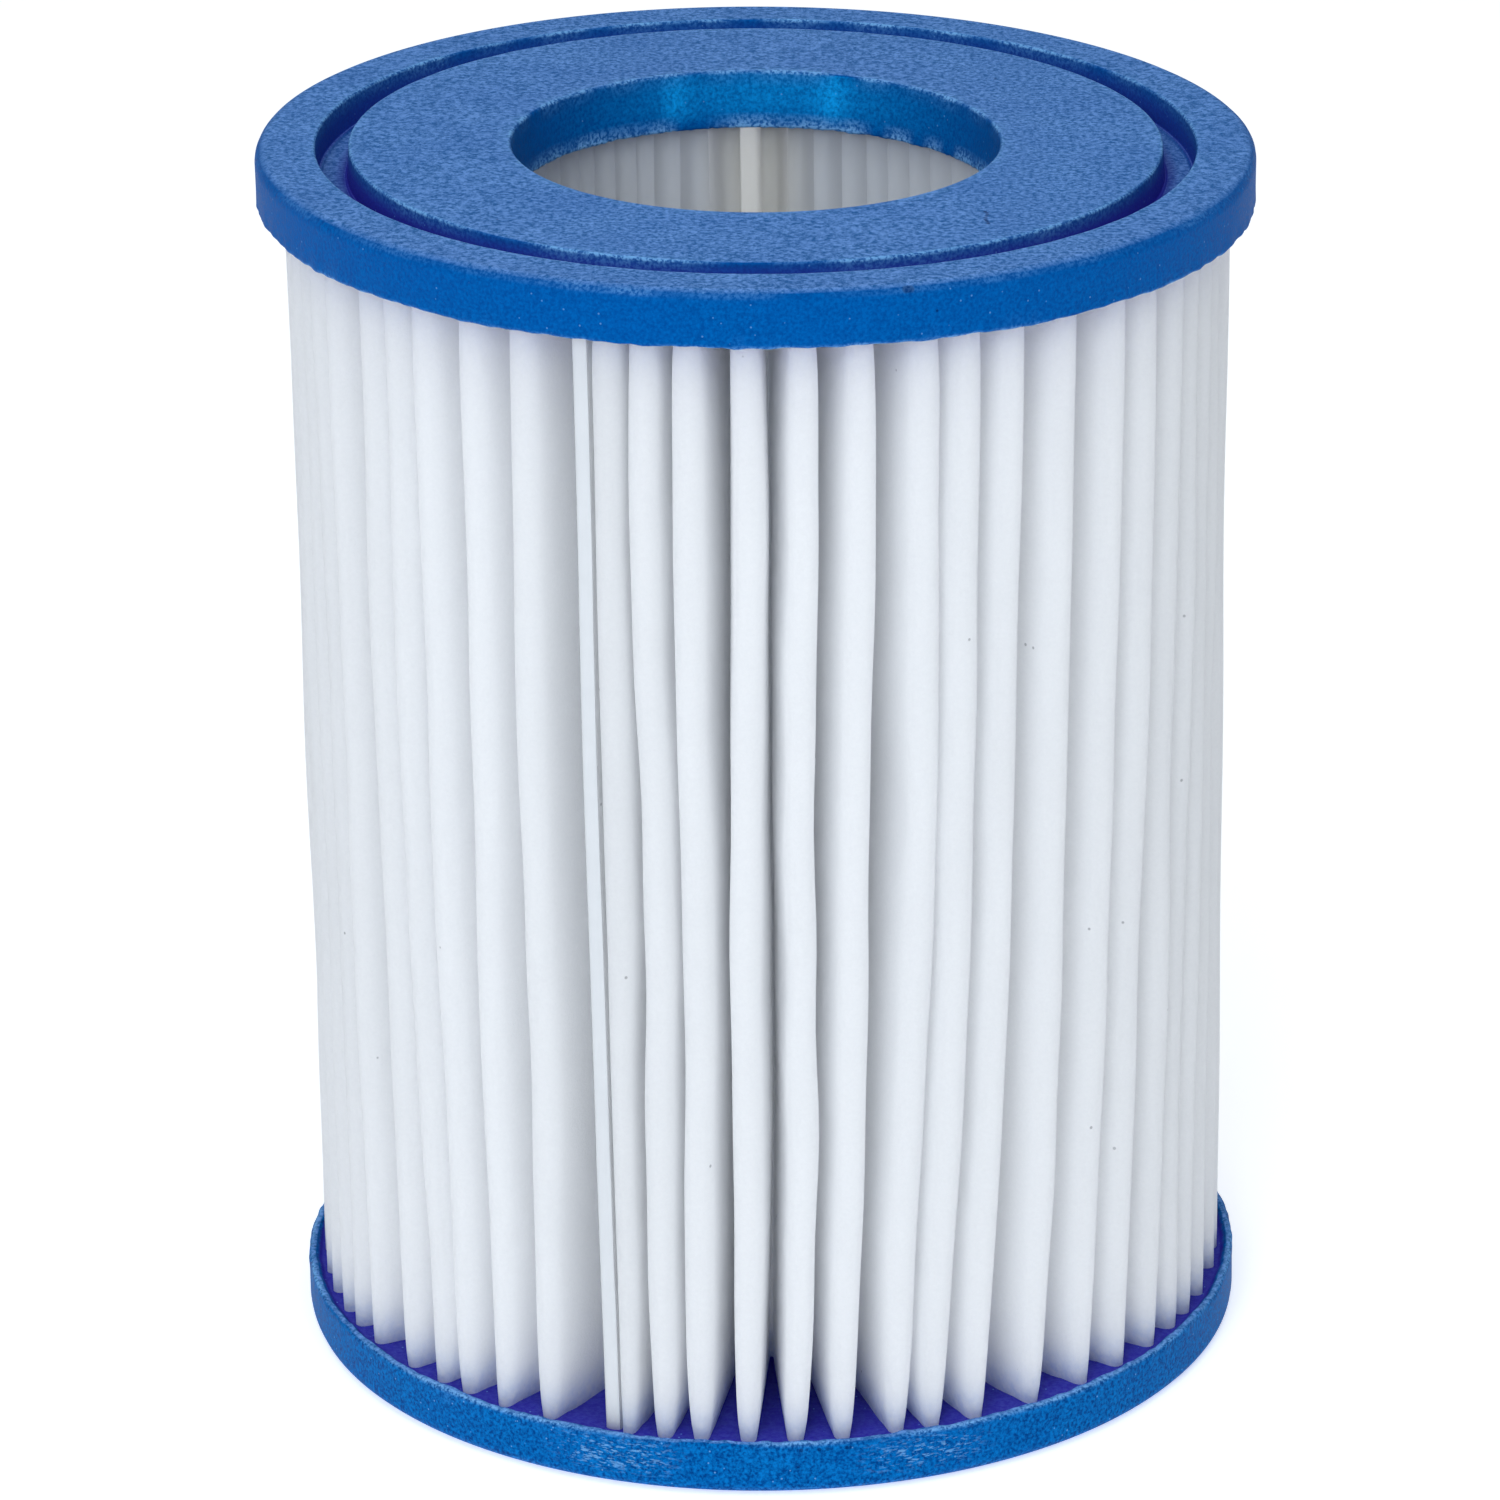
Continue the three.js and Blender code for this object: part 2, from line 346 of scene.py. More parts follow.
def cap_outline(radius):
    """The lower cap's outline in the plane of its axis."""
    return refined(
        rounded(
            [
                (BORE_RADIUS, 0.0, 0.4),
                (GROOVE_INNER, 0.0, EDGE_FILLET),
                (GROOVE_INNER + 0.25, GROOVE_DEPTH, 0.4),
                (GROOVE_OUTER - 0.25, GROOVE_DEPTH, 0.4),
                (GROOVE_OUTER, 0.0, EDGE_FILLET),
                (radius, 0.0, RIM_FILLET),
                (radius - 0.05, RIM_DEPTH, 0.45),
                (radius - 0.8, RIM_DEPTH + 0.1, 0.3),
                (radius - 1.5, CAP_DEPTH, 0.5),
                (CORE_OUTER - CORE_WALL, CAP_DEPTH, 0.0),
                (CORE_OUTER - CORE_WALL - 0.15, BORE_DEPTH, 0.25),
                (BORE_RADIUS - BORE_DRAFT, BORE_DEPTH + 0.1, 0.35),
            ]
        ),
        longest=1.4,
        margin=0.12,
    )


def cap_points(seed, upper):
    """The cap's surface, uneven as castings are, with where painted shade, painted highlights, scuffs with
    painted glints and painted sheen go on it.
    """
    rim = CAP_RADIUS + (UPPER_SPREAD if upper else LOWER_SPREAD)
    outline = cap_outline(rim)
    radii = np.array([p.x for p in outline])
    heights = np.array([p.y for p in outline])
    angles = np.arange(CAP_SEGMENTS) / CAP_SEGMENTS * 2 * np.pi
    around = angles[:, None] * np.ones_like(radii)[None, :]
    degrees = np.degrees(around)
    r = np.ones_like(around) * radii
    z = np.ones_like(around) * heights
    circle = 2 * np.pi * rim

    def lumps(number, long, short):
        """A random curve round the rim that closes on itself. The number picks its draws."""
        draw = random.Random(seed * 100 + number)
        total = np.zeros_like(angles)
        for _ in range(14):
            length = math.exp(draw.uniform(math.log(short), math.log(long)))
            waves = max(1, round(circle / length))
            total += np.sin(waves * angles + draw.uniform(0, 2 * np.pi))
        return (total / math.sqrt(7))[:, None]

    near_lip = np.clip((z - (CAP_DEPTH - 1.2)) / 1.2, 0, 1)
    outer_lip = near_lip * np.clip((r - (rim - 2.2)) / 1.3, 0, 1)
    within_core = np.clip((CORE_OUTER - 1.2 - r) / 0.4, 0, 1)
    bore_lip = np.clip((z - (BORE_DEPTH - 1.3)) / 1.3, 0, 1) * within_core
    z += outer_lip * (0.06 * lumps(1, 60, 9) + 0.035 * lumps(2, 6, 1.8))
    r += outer_lip * 0.04 * lumps(3, 12, 2.2)
    z += bore_lip * (0.03 * lumps(4, 20, 6) + 0.025 * lumps(5, 4, 1.4))
    r += bore_lip * 0.02 * lumps(6, 4, 1.4) * (r < BORE_RADIUS + 0.6)
    flank = np.clip((r - (rim - 0.6)) / 0.5, 0, 1)
    r -= flank * 0.04 * lumps(7, 90, 20)
    brinks = [np.exp(-((r - radius) ** 2 + z**2) / 0.5) for radius in (GROOVE_OUTER, GROOVE_INNER)]
    z += sum(brinks) * 0.015 * np.abs(lumps(8, 40, 8))
    groove_floor = (z > GROOVE_DEPTH - 0.25) & (r > GROOVE_INNER) & (r < GROOVE_OUTER)
    ridges = np.sin((r - GROOVE_INNER) * 2 * np.pi / RIDGE_PITCH + 0.4 * lumps(9, 80, 25))
    z -= groove_floor * RIDGE_HEIGHT * (1 + ridges)

    # Painted shade: the groove and the casting between the pleats are painted violet where they lie in
    # shade
    in_groove = (r > GROOVE_INNER - 0.2) & (r < GROOVE_OUTER + 0.2) & (z < GROOVE_DEPTH + 0.5)
    shade = np.clip(1.15 - 0.8 * (r - GROOVE_INNER), 0.15, 1.0) + 0.4 * (r > GROOVE_OUTER - 0.4)
    crevice_shade = np.where(in_groove, shade * np.clip(z / 2.2, 0, 1), 0.0)
    inside = (r < rim - 1.1) & (r > CORE_OUTER - 1.0) & (z > GROOVE_DEPTH + 0.5)
    crevice_shade = np.where(inside, 1.0, crevice_shade)

    def edge_highlight(radius, height, width, seed_number, amount):
        """Painted highlight along an edge, stronger here and there."""
        near = np.exp(-((r - radius) ** 2 + (z - height) ** 2) / width**2)
        return amount * near * np.clip(0.6 + 0.3 * lumps(seed_number, 80, 9), 0, 1)

    # Painted highlights along the cast edges and lips, brightest in a painted glint along part of the
    # upper rim
    glint = np.exp(-(((degrees - (360 + GLINT_MIDDLE)) / GLINT_HALF) ** 4)) * upper
    fillet_middle = RIM_FILLET * (1 - math.sqrt(0.5))
    edge = edge_highlight(BORE_RADIUS + 0.15, 0.1, 0.3, 10, 1.1)
    edge += edge_highlight(GROOVE_INNER - 0.05, 0.1, 0.25, 11, 1.3)
    edge += edge_highlight(GROOVE_OUTER + 0.05, 0.1, 0.25, 12, 1.1)
    edge += edge_highlight(rim - fillet_middle, fillet_middle, 0.35, 13, 0.2) * (1 + 3.5 * glint)
    edge += edge_highlight(rim - 0.3, RIM_DEPTH, 0.25, 14, 0.9 if upper else 1.1)
    edge += edge_highlight(BORE_RADIUS - BORE_DRAFT + 0.1, BORE_DEPTH, 0.45, 15, 1.8)
    # Scaly patches on the lower rim: real relief and gloss, with painted glints
    scuff_and_glint = np.zeros_like(r)
    if not upper:
        turned = (degrees + 180) % 360 - 180
        band = np.exp(-(((z - 3.9) / 1.7) ** 4)) * (r > rim - 0.6)
        for middle, half, strength in SCUFFS:
            scuff_and_glint += strength * band * np.exp(-(((turned - middle) / half) ** 4))
    # Painted reflections: bright streaks and a broad paler band down the back of the upper bore
    sheen = np.zeros_like(r)
    if upper:
        in_bore = (r < BORE_RADIUS) * np.exp(-(((z - 2.6) / 2.6) ** 4))
        for middle, half, strength in SHEENS:
            sheen += strength * in_bore * np.exp(-(((degrees - middle) / half) ** 2))
    looks = {"crevice_shade": crevice_shade, "edge": edge, "scuff_and_glint": scuff_and_glint, "sheen": sheen}
    if upper:
        z = HEIGHT - z
    points = np.stack([r * np.sin(around), -r * np.cos(around), z], -1)
    if upper:
        points = points[:, ::-1]
        looks = {name: values[:, ::-1] for name, values in looks.items()}
    return points, looks


def add_cap(node, seed, upper, material):
    """A cast cap, whose looks ride on its mesh for the material to read."""
    points, looks = cap_points(seed, upper)
    vertices, faces = grid_mesh(points, True, True)
    piece = new_piece(node + "_casting", vertices, faces, material, node)
    for name, values in looks.items():
        layer = piece.data.attributes.new(name, "FLOAT", "POINT")
        layer.data.foreach_set("value", values.astype(np.float32).ravel())
    return piece


# ---- Pleated strip


def pleat_angles():
    """The angle and the lean of each outer fold, from the first one after the fin round to the last."""
    gaps = [GAPS[name] for name in FRONT_GAPS.split()]
    front = FRONT_START + np.cumsum([0.0] + gaps)
    hidden = PLEATS - len(front)
    draw = random.Random(11)
    shares = np.cumsum([draw.uniform(0.75, 1.3) for _ in range(hidden + 1)])
    back = front[-1] + shares[:-1] / shares[-1] * (FRONT_START + 360 - front[-1])
    angles = np.concatenate([front[front > FIN_ANGLE], back, front[front < FIN_ANGLE] + 360])
    leans = np.interp(angles, *zip(*LEANS), period=360)
    leans += [draw.uniform(-LEAN_SCATTER, LEAN_SCATTER) for _ in angles]
    return list(zip(angles, leans))


def strip_levels():
    """Heights up the strip, closer together where it meets the caps."""
    t = np.linspace(-1, 1, LEVELS)
    eased = 0.15 * t + 0.85 * np.sin(t * np.pi / 2)
    return (MEDIA_LOW + MEDIA_HIGH) / 2 + eased * (MEDIA_HIGH - MEDIA_LOW) / 2


def on_plan(radius, angle, sideways):
    """Plan points at a radius and an angle in degrees, moved sideways along the tangent."""
    a = np.radians(angle)
    x = radius * np.sin(a) + sideways * np.cos(a)
    y = -radius * np.cos(a) + sideways * np.sin(a)
    return np.stack([x, y], -1)


def strip_stance(z):
    """At each height: slackness, share of the leans, closeness to the foot, folds' radius, fin's angle."""
    rise = np.clip((z - CAP_DEPTH) / (HEIGHT - 2 * CAP_DEPTH), 0, 1)
    slack = np.sin(np.pi * rise) ** 0.5
    turn = np.sin(rise * np.pi / 2)
    foot = np.exp(-np.clip(z - CAP_DEPTH, 0, None) / FOOT_HEIGHT)
    tip_radius = FOLD_OUTER - THICKNESS / 2 - 0.05 * (1 - rise) - FOOT_RECESS * foot
    stray = 0.1 * wave_sum(SEEDS["fin"], z, 160, 60) * slack
    fin_angle = FIN_ANGLE + FIN_LEAN * turn + np.degrees(stray / FOLD_OUTER)
    return slack, turn, foot, tip_radius, fin_angle


def strip_line(z):
    """The strip's middle line in plan at each height: an array of line point, height, (x, y)."""
    ones = np.ones_like(z)
    slack, turn, foot, tip_radius, fin_angle = strip_stance(z)
    root_radius = FOLD_INNER + THICKNESS / 2
    opened = 1 - np.exp(-np.clip(z - CAP_DEPTH, 0, None) / OPENING_HEIGHT)
    closed = 0.8 * np.exp(-np.clip(HEIGHT - CAP_DEPTH - z, 0, None) / CLOSING_HEIGHT)
    free = opened * (1 - closed)

    tips = []
    for i, (angle, lean) in enumerate(pleat_angles()):
        stray = 0.22 * wave_sum(SEEDS["stray"] + i, z, 260, 70) * slack
        ripple = 0.05 * wave_sum(SEEDS["ripple"] + i, z, 40, 20) * slack
        tips.append(angle + lean * turn + np.degrees((stray + ripple) / FOLD_OUTER))
    before = [fin_angle] + tips[:-1]
    after = tips[1:] + [fin_angle + 360]
    roots = [
        (a + b) / 2 + np.degrees(0.15 * wave_sum(SEEDS["root"] + i, z, 200, 60) * slack / FOLD_INNER)
        for i, (a, b) in enumerate(zip(tips, after))
    ]
    beside_fin = np.degrees((FIN_SPREAD / 2 + ROOT_HALF) / FOLD_INNER)
    roots[-1] = fin_angle - beside_fin
    first_root = fin_angle + beside_fin
    # The pleat beside the fin is squeezed, so its far inner fold keeps room for both of its walls
    both_walls = np.degrees((2 * ROOT_HALF + THICKNESS + 0.2) / FOLD_INNER)
    roots[0] = np.maximum(roots[0], first_root + both_walls)

    def fin(side):
        """One of the strip's two ends, from the inner folds out."""
        inner = on_plan(root_radius + ROOT_HALF, fin_angle, side * FIN_SPREAD / 2 * ones)
        outer = on_plan(tip_radius - FIN_SHORT, fin_angle, side * FIN_SPREAD / 2 * ones)
        return [inner + (outer - inner) * k / FIN_STEPS for k in range(1, FIN_STEPS + 1)]

    def inner_fold(angle):
        """The rounded inner fold, from its left wall to its right wall."""
        arc = []
        for k in range(5):
            t = math.pi * k / 4
            radius = root_radius + ROOT_HALF * (1 - math.sin(t))
            arc.append(on_plan(radius, angle, -ROOT_HALF * math.cos(t) * ones))
        return arc

    def outer_fold(i):
        """The rounded outer fold, wide where the strip is free and narrower where a cap holds it."""
        draw = random.Random(SEEDS["fold"] + i)
        gap_left = np.radians(tips[i] - before[i]) * tip_radius
        gap_right = np.radians(after[i] - tips[i]) * tip_radius
        half_fin = FIN_SPREAD / 2 + THICKNESS / 2 + 0.1
        room_left = gap_left / 2 if i else gap_left - half_fin
        room_right = gap_right / 2 if i < PLEATS - 1 else gap_right - half_fin
        room = np.minimum(room_left, room_right) - THICKNESS / 2 - 0.08
        wide = draw.uniform(*WIDE_FOLD)
        narrow = draw.uniform(*NARROW_FOLD)
        half = narrow + (wide - narrow) * free + 0.05 * wave_sum(SEEDS["width"] + i, z, 60, 20) * slack
        half = (room - np.log1p(np.exp((room - half) * 6)) / 6) * (1 - 0.35 * foot)
        half = np.maximum(half, TIGHTEST_FOLD)
        crown = 0.8 * half + 0.3
        dip = draw.uniform(0.0, 0.35) * slack
        radius = tip_radius - dip - 0.08 * (1 + wave_sum(SEEDS["reach"] + i, z, 120, 40)) * slack
        fold = []
        for k in range(FOLD_STEPS + 1):
            t = math.pi * (k / FOLD_STEPS - 0.5)
            side = math.copysign(abs(math.sin(t)) ** 0.9, math.sin(t))
            fold.append(on_plan(radius - crown * (1 - math.cos(t)), tips[i], half * side))
        return fold

    def belly(i, gap, seed):
        """How far a wall swells into the valley beside it, which it never quite closes."""
        half = np.linalg.norm(folds[i][0] - folds[i][-1], axis=-1) / 2
        open_half = ((gap - THICKNESS) / 2 - half + ROOT_HALF - THICKNESS / 2) / 2
        kept = np.clip(0.26 + 0.08 * wave_sum(seed, z, 150, 50), 0.2, None)
        return np.clip(open_half - kept, -0.5, 0.8) * slack

    def wall(start, end, bow):
        """Points between two folds, on a wall that bows to one side."""
        across = end - start
        normal = np.stack([-across[:, 1], across[:, 0]], -1)
        normal /= np.linalg.norm(normal, axis=-1, keepdims=True)
        return [
            start + across * t + normal * (bow * math.sin(math.pi * t))[:, None]
            for t in (k / WALL_STEPS for k in range(1, WALL_STEPS))
        ]

    line = fin(1)[::-1] + inner_fold(first_root)
    folds = [outer_fold(i) for i in range(PLEATS)]
    for i, outer in enumerate(folds):
        inner = inner_fold(roots[i])
        gaps = [np.radians(turned) * tip_radius for turned in (tips[i] - before[i], after[i] - tips[i])]
        line += wall(line[-1], outer[0], -belly(i, gaps[0], SEEDS["left wall"] + i)) + outer
        line += wall(outer[-1], inner[0], -belly(i, gaps[1], SEEDS["right wall"] + i)) + inner
    line += fin(-1)
    return np.stack(line)


def add_strip(material):
    """The folded strip as one closed sheet with its real thickness."""
    z = strip_levels()
    middle = strip_line(z)
    along = np.gradient(middle, axis=0)
    along /= np.linalg.norm(along, axis=-1, keepdims=True)
    inward = np.stack([-along[..., 1], along[..., 0]], -1) * THICKNESS / 2
    heights = np.broadcast_to(z, middle.shape[:2])[..., None]
    outer = np.concatenate([middle - inward, heights], -1)
    inner = np.concatenate([middle + inward, heights], -1)
    # Round the strip: outer face up the levels, inner face back down, closed into a tube along the line
    section = np.concatenate([outer, inner[:, ::-1]], 1)
    vertices, faces = grid_mesh(section, False, True)
    per_row = section.shape[1]
    last = (section.shape[0] - 1) * per_row
    for k in range(LEVELS - 1):
        mirror = per_row - 1 - k
        faces.append((k, k + 1, mirror - 1, mirror))
        faces.append((last + mirror, last + mirror - 1, last + k + 1, last + k))
    piece = new_piece("pleated_strip", vertices, faces, material, "pleated_media")
    return piece


# ---- Core tube


def core_cell(width, height):
    """One window's surround: a loop of points on the cell's edge, and one on the window's."""
    per_side = 10
    half = (width / 2, height / 2)
    opening = (WINDOW_WIDTH / 2, height / 2 - WINDOW_RIB / 2)
    outer, inner = [], []
    for side in range(4):
        for k in range(per_side):
            t = 2 * k / per_side - 1
            x, y = ((t, -1), (1, t), (-t, 1), (-1, -t))[side]
            outer.append((x * half[0], y * half[1]))
            px, py = x * opening[0], y * opening[1]
            qx = max(-opening[0] + WINDOW_CORNER, min(opening[0] - WINDOW_CORNER, px))
            qy = max(-opening[1] + WINDOW_CORNER, min(opening[1] - WINDOW_CORNER, py))
            inward = WINDOW_CORNER / math.hypot(px - qx, py - qy)
            inner.append((qx + (px - qx) * inward, qy + (py - qy) * inward))
    return outer, inner


def add_core(material):
    """The perforated core, with rounded windows."""
    circle = 2 * math.pi * CORE_OUTER
    width = circle / WINDOW_COLUMNS
    first = CAP_DEPTH + WINDOW_BAND
    span = HEIGHT - 2 * first + WINDOW_RIB
    height = span / WINDOW_ROWS
    outer, inner = core_cell(width, height)
    count = len(outer)
    flat, faces = [], []
    for row in range(WINDOW_ROWS):
        for column in range(WINDOW_COLUMNS):
            base = len(flat)
            cx = (column + 0.5) * width
            cz = first - WINDOW_RIB / 2 + (row + 0.5) * height
            flat += [(cx + x, cz + y) for x, y in outer] + [(cx + x, cz + y) for x, y in inner]
            for k in range(count):
                n = (k + 1) % count
                faces.append((base + k, base + n, base + count + n, base + count + k))
    per_side = count // 4
    rows = 6
    windows_low = first - WINDOW_RIB / 2
    for low, high in ((CORE_LOW, windows_low), (windows_low + span, CORE_HIGH)):
        for row in range(rows):
            for k in range(per_side * WINDOW_COLUMNS):
                base = len(flat)
                x0, x1 = (n / per_side * width for n in (k, k + 1))
                z0, z1 = (low + (high - low) * (row + d) / rows for d in (0, 1))
                flat += [(x0, z0), (x1, z0), (x1, z1), (x0, z1)]
                faces.append((base, base + 1, base + 2, base + 3))
    turns = np.array([x / CORE_OUTER for x, z in flat])
    heights = np.array([z for x, z in flat])
    around = np.stack([CORE_OUTER * np.sin(turns), -CORE_OUTER * np.cos(turns), heights], -1)
    vertices = (settled(around) * MM).tolist()
    piece = new_piece("core_tube_moulding", vertices, faces, material, "core_tube")
    weld = piece.modifiers.new("weld", "WELD")
    weld.merge_threshold = 0.02 * MM
    shell = piece.modifiers.new("wall", "SOLIDIFY")
    shell.thickness = CORE_WALL * MM
    shell.offset = -1
    edge = piece.modifiers.new("edges", "BEVEL")
    edge.width = 0.25 * MM
    edge.segments = 2
    edge.limit_method = "ANGLE"
    edge.angle_limit = math.radians(50)
    return piece


def add_glue(material):
    """The film of hot-melt glue in the fin, with a low bead over the fin's two edges."""
    z = np.linspace(CAP_DEPTH - 0.5, HEIGHT - CAP_DEPTH + 0.5, 90)
    ones = np.ones_like(z)
    *_, tip_radius, angle = strip_stance(z)
    edge = tip_radius - FIN_SHORT + 0.03
    crown = 0.24 + 0.03 * wave_sum(SEEDS["glue bead"], z, 60, 12)
    film = FIN_SPREAD / 2 - THICKNESS / 2 - 0.02
    bead = FIN_SPREAD / 2 + THICKNESS / 2 - 0.04
    bottom = (FOLD_INNER + 2) * ones
    loop = [on_plan(bottom, angle, -film * ones), on_plan(edge, angle, -film * ones)]
    for k in range(9):
        t = math.pi * k / 8
        loop.append(on_plan(edge + crown * math.sin(t), angle, -bead * math.cos(t) * ones))
    loop += [on_plan(edge, angle, film * ones), on_plan(bottom, angle, film * ones)]
    heights = np.broadcast_to(z, (len(loop), len(z)))[..., None]
    points = np.concatenate([np.stack(loop), heights], -1)
    vertices, faces = grid_mesh(points, True, False)
    count = len(z)
    faces.append(tuple(k * count for k in range(len(loop)))[::-1])
    faces.append(tuple(k * count + count - 1 for k in range(len(loop))))
    return new_piece("seam_glue", vertices, faces, material, "seam_glue_film")


# ---- Materials


class Nodes:
    """Short names for building a material's node tree."""

    def __init__(self, name):
        self.material = bpy.data.materials.new(name)
        self.material.use_nodes = True
        self.tree = self.material.node_tree
        self.shader = self.tree.nodes["Principled BSDF"]

    def add(self, kind, inputs=None, **settings):
        """A new node. Each input is a socket to link from, or a value."""
        node = self.tree.nodes.new(kind)
        for key, value in settings.items():
            setattr(node, key, value)
        for key, value in (inputs or {}).items():
            if isinstance(value, bpy.types.NodeSocket):
                self.tree.links.new(value, node.inputs[key])
            else:
                node.inputs[key].default_value = value
        return node

    def math(self, operation, a, b=0.0, clamp=False):
        """A sum, product or other operation on two numbers."""
        return self.add("ShaderNodeMath", {0: a, 1: b}, operation=operation, use_clamp=clamp).outputs[0]

    def noise(self, vector, size, detail=3.0, roughness=0.55):
        """Noise whose features are about size millimetres across."""
        inputs = {"Vector": vector, "Scale": 1 / (size * MM), "Detail": detail, "Roughness": roughness}
        return self.add("ShaderNodeTexNoise", inputs).outputs["Fac"]

    def spread(self, value, low, high, to_low=0.0, to_high=1.0):
        """Value moved from one range to another, and held inside it."""
        inputs = {"Value": value, "From Min": low, "From Max": high, "To Min": to_low, "To Max": to_high}
        return self.add("ShaderNodeMapRange", inputs).outputs["Result"]

    def mix(self, factor, a, b):
        """A colour between two colours, each a socket or red, green and blue."""
        colours = [c if isinstance(c, bpy.types.NodeSocket) else (*c, 1.0) for c in (a, b)]
        inputs = {0: factor, 6: colours[0], 7: colours[1]}
        return self.add("ShaderNodeMix", inputs, data_type="RGBA").outputs[2]

    def specks(self, vector, spacing, size):
        """One inside sparse dots of a size in millimetres, and nought between them."""
        cells = self.add("ShaderNodeTexVoronoi", {"Vector": vector, "Scale": 1 / (spacing * MM)})
        return self.spread(cells.outputs["Distance"], size / spacing, 0.6 * size / spacing)

    def dots(self, vector, points, radius):
        """One close to any of the points, in millimetres, and nought further off."""
        total = 0.0
        for point in points:
            spot = [float(c) * MM for c in point]
            gap = self.add("ShaderNodeVectorMath", {0: vector, 1: spot}, operation="DISTANCE")
            near = self.spread(gap.outputs["Value"], radius * MM, 0.6 * radius * MM)
            total = self.math("ADD", total, near, clamp=True)
        return total

    def attribute(self, name):
        """One of the looks that a cap carries on its mesh."""
        return self.add("ShaderNodeAttribute", attribute_name=name).outputs["Fac"]

    def to_shader(self, **inputs):
        """Inputs of the material's main shader, with underlines for the spaces in their names."""
        for key, value in inputs.items():
            socket = self.shader.inputs[key.replace("_", " ")]
            if isinstance(value, bpy.types.NodeSocket):
                self.tree.links.new(value, socket)
            else:
                socket.default_value = value


def on_cap(angle, radius, height):
    """A point of the settled cartridge from its angle, radius and height."""
    a = math.radians(angle)
    return settled(np.array([[radius * math.sin(a), -radius * math.cos(a), height]]))[0]


def along_scratch():
    """Points along the short curved scratch in the upper face, between the bore and the groove."""
    turn, reach = (np.array(SCRATCH_FROM) + np.outer(np.arange(9) / 8, SCRATCH_RUN)).T
    return [on_cap(a + 0.3 * math.sin(k), r, HEIGHT) for k, (a, r) in enumerate(zip(turn, reach))]


def cast_blue():
    """Pigmented casting resin: grained and dusty, with painted violet shade where it shades itself,
    painted highlights on its edges and upward faces, painted glints on its scuffs and painted sheen in its
    bore.
    """
    n = Nodes("cast_blue")
    place = n.add("ShaderNodeTexCoord").outputs["Object"]
    coarse = n.noise(place, 0.6, 3.0, 0.75)
    fine = n.noise(place, 0.38, 3.0, 0.6)
    normal = n.add("ShaderNodeNewGeometry").outputs["Normal"]
    upright = n.math("ABSOLUTE", n.add("ShaderNodeSeparateXYZ", {0: normal}).outputs["Z"])
    level = n.spread(upright, 0.75, 0.98)
    level_grain = n.math("MULTIPLY", coarse, level)
    upright_grain = n.math("MULTIPLY", fine, n.math("SUBTRACT", 1.0, level))
    grain = n.math("ADD", level_grain, upright_grain)
    cloud = n.noise(place, 9.0, 2.0)
    side = n.mix(n.spread(grain, 0.35, 0.65), *SIDE_BLUES)
    lower = n.spread(n.add("ShaderNodeSeparateXYZ", {0: place}).outputs["Z"], 20 * MM, 12 * MM)
    lower_side = n.mix(n.spread(grain, 0.36, 0.64), *LOWER_SIDE_BLUES)
    side = n.mix(lower, side, lower_side)
    # Painted reflection: faces that look upwards are painted paler, for the bright room that they reflect
    face = n.mix(n.spread(grain, 0.38, 0.62), *FACE_SHEEN_BLUES)
    blue = n.mix(level, side, face)
    blue = n.mix(n.spread(cloud, 0.3, 0.7, 0.0, 0.2), blue, CLOUD_BLUE)
    # Painted shade in violet in the groove and between the pleats
    blue = n.mix(n.math("MULTIPLY", n.attribute("crevice_shade"), 0.85), blue, CREVICE_SHADE_VIOLET)

    draw = random.Random(5)
    pit_angles = [draw.uniform(*PIT_SPAN) for _ in range(PIT_COUNT)]
    pits = [on_cap(angle, CAP_RADIUS + LOWER_SPREAD, RIM_DEPTH - 0.75) for angle in pit_angles]
    upper_rim = CAP_RADIUS + UPPER_SPREAD
    nick = [on_cap(NICK_ANGLE + step, upper_rim - 0.35, HEIGHT - 0.4) for step in (-0.25, 0.25)]
    # The pits, the nick and the scratch are painted dark navy as painted shade inside them; the sparse
    # specks are dark flecks in the resin
    shaded_hollows_and_flecks = n.math("MAXIMUM", n.dots(place, pits, PIT_RADIUS), n.dots(place, nick, NICK_RADIUS))
    shaded_hollows_and_flecks = n.math("MAXIMUM", shaded_hollows_and_flecks, n.dots(place, along_scratch(), SCRATCH_RADIUS))
    shaded_hollows_and_flecks = n.math("MAXIMUM", shaded_hollows_and_flecks, n.specks(place, 5.0, 0.17))
    blue = n.mix(n.math("MULTIPLY", shaded_hollows_and_flecks, 0.7), blue, HOLLOW_SHADE_NAVY)

    dust = n.math("MULTIPLY", n.specks(place, 1.4, 0.13), n.spread(lower, 0.0, 1.0, 0.3, 0.45))
    # Painted highlights along the edges, broken up by the grain
    edge_highlight_mask = n.math("MULTIPLY", n.attribute("edge"), n.spread(fine, 0.42, 0.60, 0.15, 1.3), clamp=True)
    streaks = n.add("ShaderNodeMapping", {"Vector": place, "Scale": (1.0, 1.0, 4.0)}).outputs["Vector"]
    scale = n.spread(n.noise(streaks, 1.1, 3.0, 0.65), 0.53, 0.61)
    scuffs_and_glints = n.math("MULTIPLY", n.attribute("scuff_and_glint"), scale, clamp=True)
    # Paler: real dust specks, painted highlights on the edges and painted glints on the scaly patches
    dust_and_highlights = n.math("MAXIMUM", dust, n.math("MULTIPLY", edge_highlight_mask, 0.8))
    dust_and_highlights = n.math("MAXIMUM", dust_and_highlights, n.math("MULTIPLY", scuffs_and_glints, 0.75))
    # Painted reflections in the upper bore
    gleam = n.math("MULTIPLY", n.attribute("sheen"), n.spread(fine, 0.35, 0.65, 0.2, 0.6))
    blue = n.mix(gleam, blue, GLEAM_BLUE)
    blue = n.mix(dust_and_highlights, blue, DUST_AND_HIGHLIGHT_BLUE)

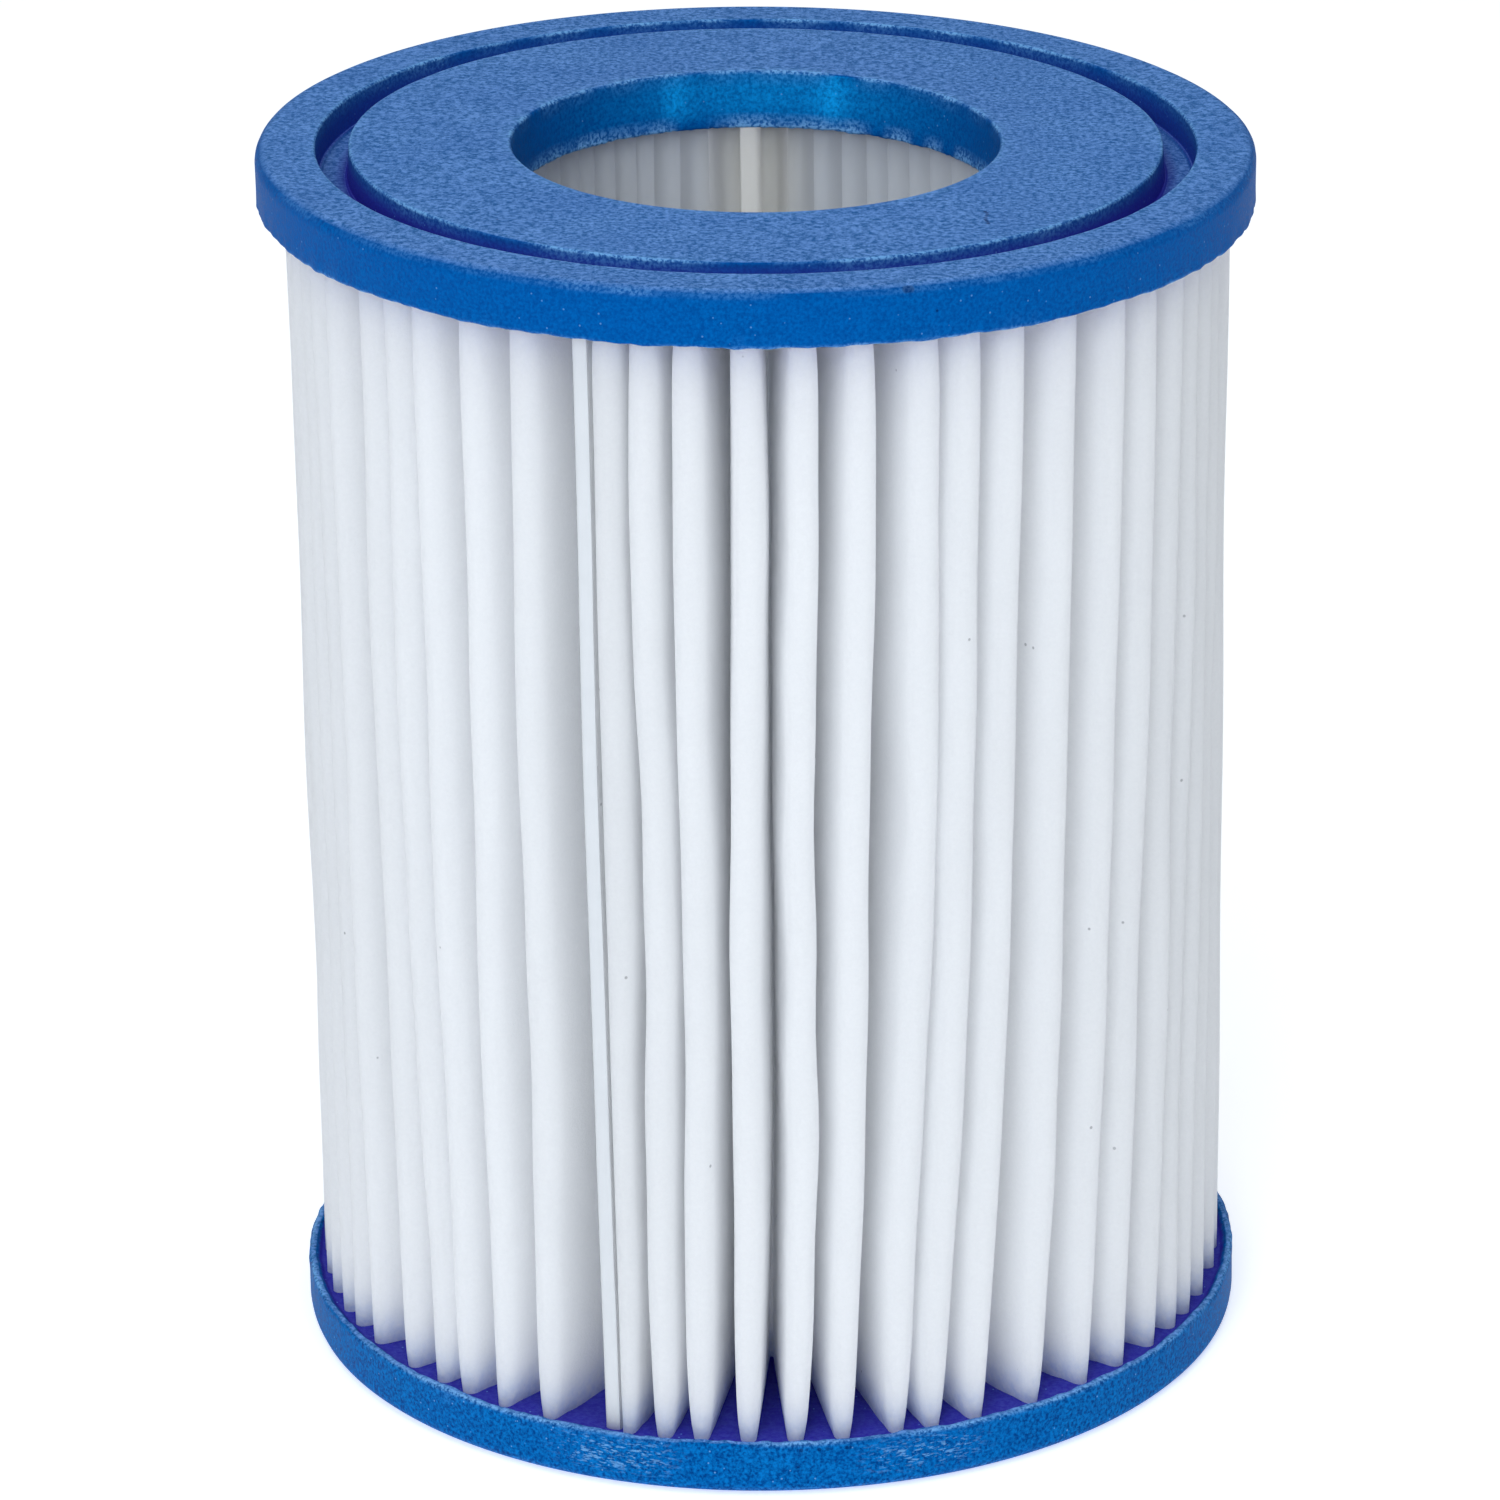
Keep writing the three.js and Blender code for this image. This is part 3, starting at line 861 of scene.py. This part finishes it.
    rough = n.spread(grain, 0.35, 0.65, 0.42, 0.62)
    rough = n.math("SUBTRACT", rough, n.math("MULTIPLY", scuffs_and_glints, 0.25))
    n.to_shader(Base_Color=blue, Roughness=rough, Specular_IOR_Level=0.03, Specular_Tint=SPECULAR_BLUE)
    relief = n.math("SUBTRACT", n.math("ADD", grain, n.math("MULTIPLY", scuffs_and_glints, 0.8)), shaded_hollows_and_flecks)
    bump = n.add("ShaderNodeBump", {"Height": relief, "Distance": 0.08 * MM, "Strength": 0.8})
    n.to_shader(Normal=bump.outputs["Normal"])
    return n.material


def spunbond():
    """White spun-bonded polyester: a felt of filaments that lets light through and wicks up resin, with
    painted blue light near the caps.
    """
    n = Nodes("spunbond_polyester")
    place = n.add("ShaderNodeTexCoord").outputs["Object"]
    mottle = n.noise(place, 0.45, 4.0, 0.7)
    fibre = n.noise(place, 0.22, 3.0, 0.7)
    white = n.mix(n.spread(mottle, 0.35, 0.65), *FELT_WHITES)

    height = n.add("ShaderNodeSeparateXYZ", {0: place}).outputs["Z"]
    # Bluer close to the caps: partly resin wicked into the felt, partly painted blue light thrown back
    # from the caps
    soaked = n.noise(place, 1.1, 4.0, 0.65)
    low = n.spread(height, (CAP_DEPTH + 5) * MM, CAP_DEPTH * MM)
    ceiling = HEIGHT - CAP_DEPTH
    high = n.math("MULTIPLY", n.spread(height, (ceiling - 6) * MM, ceiling * MM), 0.5)
    close = n.math("POWER", n.math("MAXIMUM", low, high), 1.6)
    soaked_and_bounce_tint = n.math("MULTIPLY", close, n.spread(soaked, 0.35, 0.65, 0.12, 0.5))
    white = n.mix(soaked_and_bounce_tint, white, SOAKED_AND_BOUNCE_BLUE)

    lint = n.math("MULTIPLY", n.specks(place, 7.0, 0.22), 0.55)
    white = n.mix(lint, white, LINT_GREY)
    relief = n.math("ADD", fibre, mottle)
    bump = n.add("ShaderNodeBump", {"Height": relief, "Distance": 0.06 * MM, "Strength": 0.6})
    n.to_shader(Base_Color=white, Roughness=0.95, Specular_IOR_Level=0.2, Normal=bump.outputs["Normal"])
    through = n.add("ShaderNodeBsdfTranslucent", {"Color": white, "Normal": bump.outputs["Normal"]})
    both = n.add("ShaderNodeMixShader", {0: FELT_THROUGH})
    n.tree.links.new(n.shader.outputs[0], both.inputs[1])
    n.tree.links.new(through.outputs[0], both.inputs[2])
    n.tree.links.new(both.outputs[0], n.tree.nodes["Material Output"].inputs["Surface"])
    return n.material


def natural_plastic():
    """Unpigmented polypropylene, milky and mostly clear, yellower near the moulding's gate."""
    n = Nodes("natural_polypropylene")
    place = n.add("ShaderNodeTexCoord").outputs["Object"]
    cloud = n.noise(place, 5.0, 3.0)
    tint = n.mix(n.spread(cloud, 0.3, 0.7), *CORE_WHITES)
    axes = n.add("ShaderNodeSeparateXYZ", {0: place})
    aside = n.math("ABSOLUTE", axes.outputs["X"])
    at_back = n.spread(axes.outputs["Y"], 20 * MM, 25 * MM)
    gate = n.math("MULTIPLY", n.spread(aside, 7 * MM, 2 * MM), at_back)
    tint = n.mix(n.math("MULTIPLY", gate, 0.8), tint, GATE_YELLOW)
    n.to_shader(Base_Color=tint, Roughness=0.38, Alpha=CORE_OPACITY)
    return n.material


def hot_melt():
    """Hot-melt glue, a little greyer than the fabric."""
    n = Nodes("hot_melt_glue")
    place = n.add("ShaderNodeTexCoord").outputs["Object"]
    cloud = n.noise(place, 2.0, 3.0)
    tint = n.mix(cloud, *GLUE_GREYS)
    n.to_shader(Base_Color=tint, Roughness=0.7, Specular_IOR_Level=0.25)
    return n.material


add_camera()
add_studio()
resin = cast_blue()
add_cap("bottom_end_cap", 1, False, resin)
add_cap("top_end_cap", 2, True, resin)
add_strip(spunbond())
add_core(natural_plastic())
add_glue(hot_melt())
